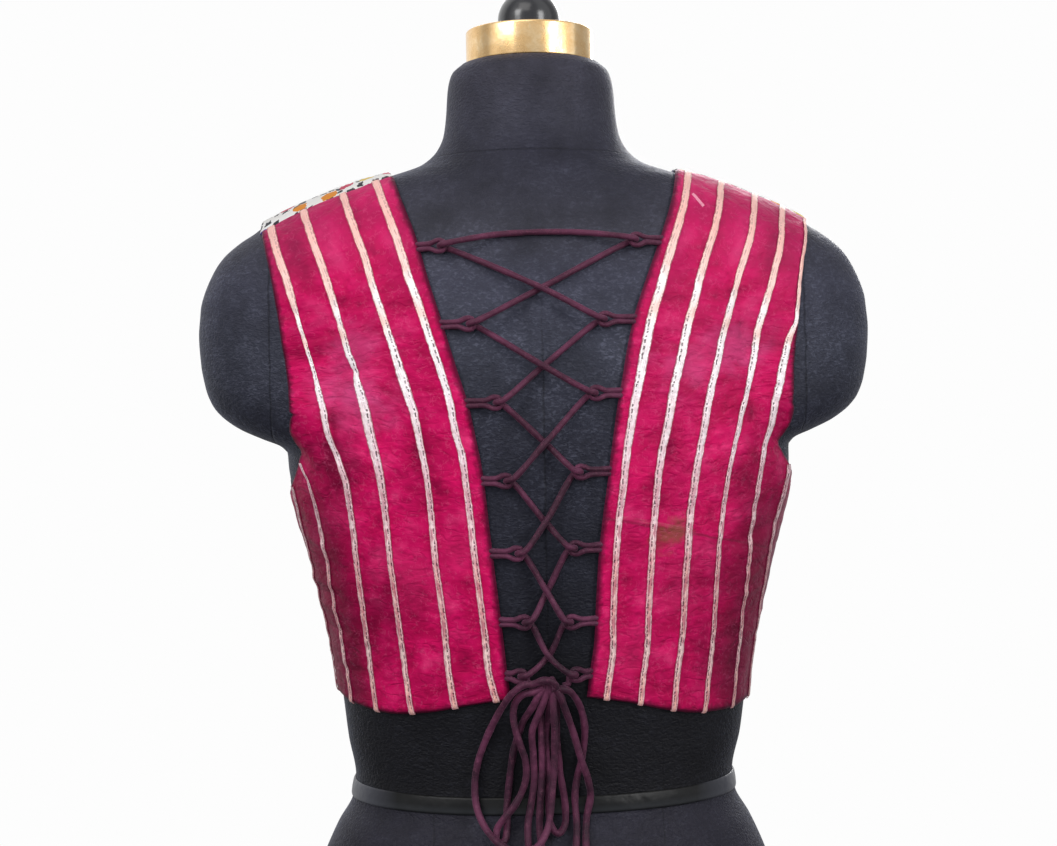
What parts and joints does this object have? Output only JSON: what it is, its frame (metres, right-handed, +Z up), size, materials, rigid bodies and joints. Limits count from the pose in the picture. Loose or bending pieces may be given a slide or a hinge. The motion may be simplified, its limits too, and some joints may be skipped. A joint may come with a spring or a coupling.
{
  "type": "choli blouse on a limbless dress form",
  "caption": "Sleeveless cropped choli blouse with a striped back, open and laced down its middle to a hanging bow, on a limbless torso dress form with a capped neck.",
  "frame": {"origin": "centre of the dress form's flat underside, where its axis meets the surface it stands on", "axes": "+Z up; the laced back faces -Y and the printed front +Y; +X is the wearer's right"},
  "size_m": [0.4446, 0.2421, 0.6128],
  "materials": {
    "crimson_silk": "soft sheen",
    "printed_cotton": "matte print",
    "metallic_ribbon": "woven metallic",
    "maroon_cord": "matte",
    "charcoal_jersey": "matte",
    "black_tape": "glossy",
    "aged_brass": "satin",
    "black_gloss": "glossy"
  },
  "bodies": {
    "root": {"back_panel_left": "crimson_silk", "back_panel_right": "crimson_silk", "bow_knot": "maroon_cord", "bow_loop_centre": "maroon_cord", "bow_loop_large": "maroon_cord", "bow_loop_left": "maroon_cord", "bow_loop_small": "maroon_cord", "edge_loop_left_1": "maroon_cord", "edge_loop_left_2": "maroon_cord", "edge_loop_left_3": "maroon_cord", "edge_loop_left_4": "maroon_cord", "edge_loop_left_5": "maroon_cord", "edge_loop_left_6": "maroon_cord", "edge_loop_left_7": "maroon_cord", "edge_loop_right_1": "maroon_cord", "edge_loop_right_2": "maroon_cord", "edge_loop_right_3": "maroon_cord", "edge_loop_right_4": "maroon_cord", "edge_loop_right_5": "maroon_cord", "edge_loop_right_6": "maroon_cord", "edge_loop_right_7": "maroon_cord", "form_body": "charcoal_jersey", "front_panel": "printed_cotton", "lace_end_over": "maroon_cord", "lace_end_under": "maroon_cord", "lace_left": "maroon_cord", "lace_right": "maroon_cord", "neck_cap": "aged_brass", "neck_knob": "black_gloss", "ribbon_left_a": "metallic_ribbon", "ribbon_left_b": "metallic_ribbon", "ribbon_left_c": "metallic_ribbon", "ribbon_left_d": "metallic_ribbon", "ribbon_left_e": "metallic_ribbon", "ribbon_left_f": "metallic_ribbon", "ribbon_right_a": "metallic_ribbon", "ribbon_right_b": "metallic_ribbon", "ribbon_right_c": "metallic_ribbon", "ribbon_right_d": "metallic_ribbon", "ribbon_right_e": "metallic_ribbon", "ribbon_right_f": "metallic_ribbon", "waist_tape": "black_tape"}
  },
  "joints": []
}
